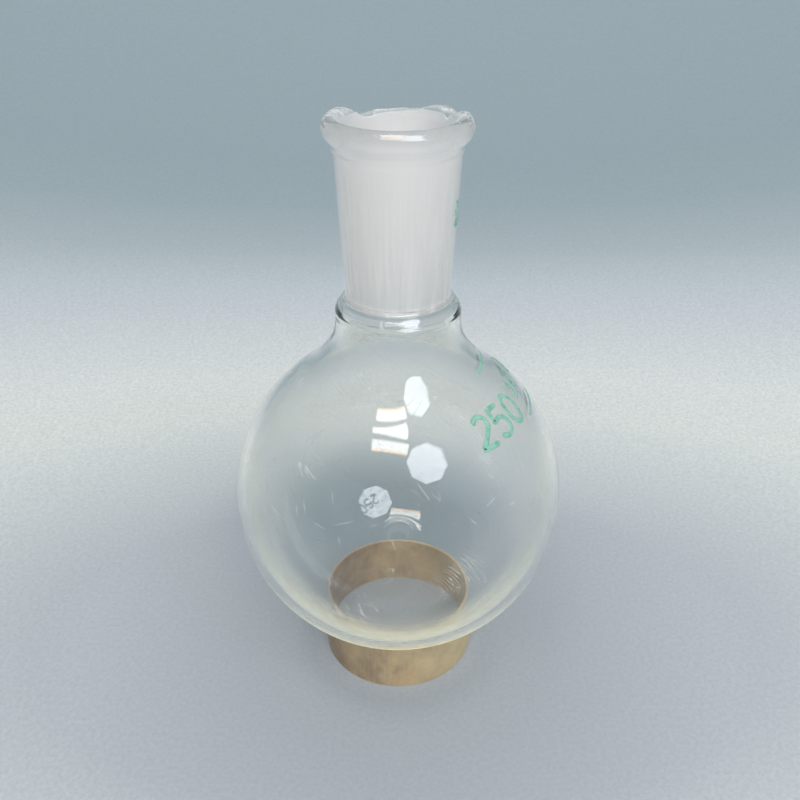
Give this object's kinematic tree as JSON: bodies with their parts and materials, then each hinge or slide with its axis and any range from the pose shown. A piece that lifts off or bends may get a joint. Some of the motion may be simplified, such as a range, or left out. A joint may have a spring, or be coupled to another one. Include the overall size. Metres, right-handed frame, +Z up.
{
  "type": "round bottom flask",
  "caption": "Round bottom glass flask with a ground taper joint and a chipped beaded rim, standing in a short paper-core ring that it lifts out of.",
  "frame": {"origin": "on the axis of the support ring, on the surface that the ring stands on", "axes": "+Z up along the flask's axis, from the ring to the rim; -Y is the side where the rim is whole, +X the side with the enamel marks"},
  "size_m": [0.085, 0.085, 0.151],
  "materials": {
    "clear_glass": "clear borosilicate, polished, faint green-grey tint in thick sections",
    "ground_glass": "clear outside, finely ground white bore, beaded rim fire-polished with raw chips",
    "paper_core": "matt brown kraft board, cut edges paler",
    "green_enamel": "fired green ceramic enamel, worn"
  },
  "bodies": {
    "ring": {"support_ring": "paper_core"},
    "flask": {"bulb": "clear_glass", "ground_joint": "ground_glass", "mark_capacity_1": "green_enamel", "mark_capacity_2": "green_enamel", "mark_capacity_3": "green_enamel", "mark_size_1": "green_enamel", "mark_size_2": "green_enamel", "mark_size_3": "green_enamel", "mark_size_4": "green_enamel", "mark_size_5": "green_enamel", "mark_bar_upper": "green_enamel", "mark_bar_lower": "green_enamel", "mark_joint_top_1": "green_enamel", "mark_joint_top_2": "green_enamel", "mark_joint_bar": "green_enamel", "mark_joint_bottom_1": "green_enamel", "mark_joint_bottom_2": "green_enamel"}
  },
  "joints": [
    {"name": "flask_lift", "type": "slide", "parent": "ring", "child": "flask", "axis": [0, 0, 1], "range_m": [0, 0.04]}
  ]
}
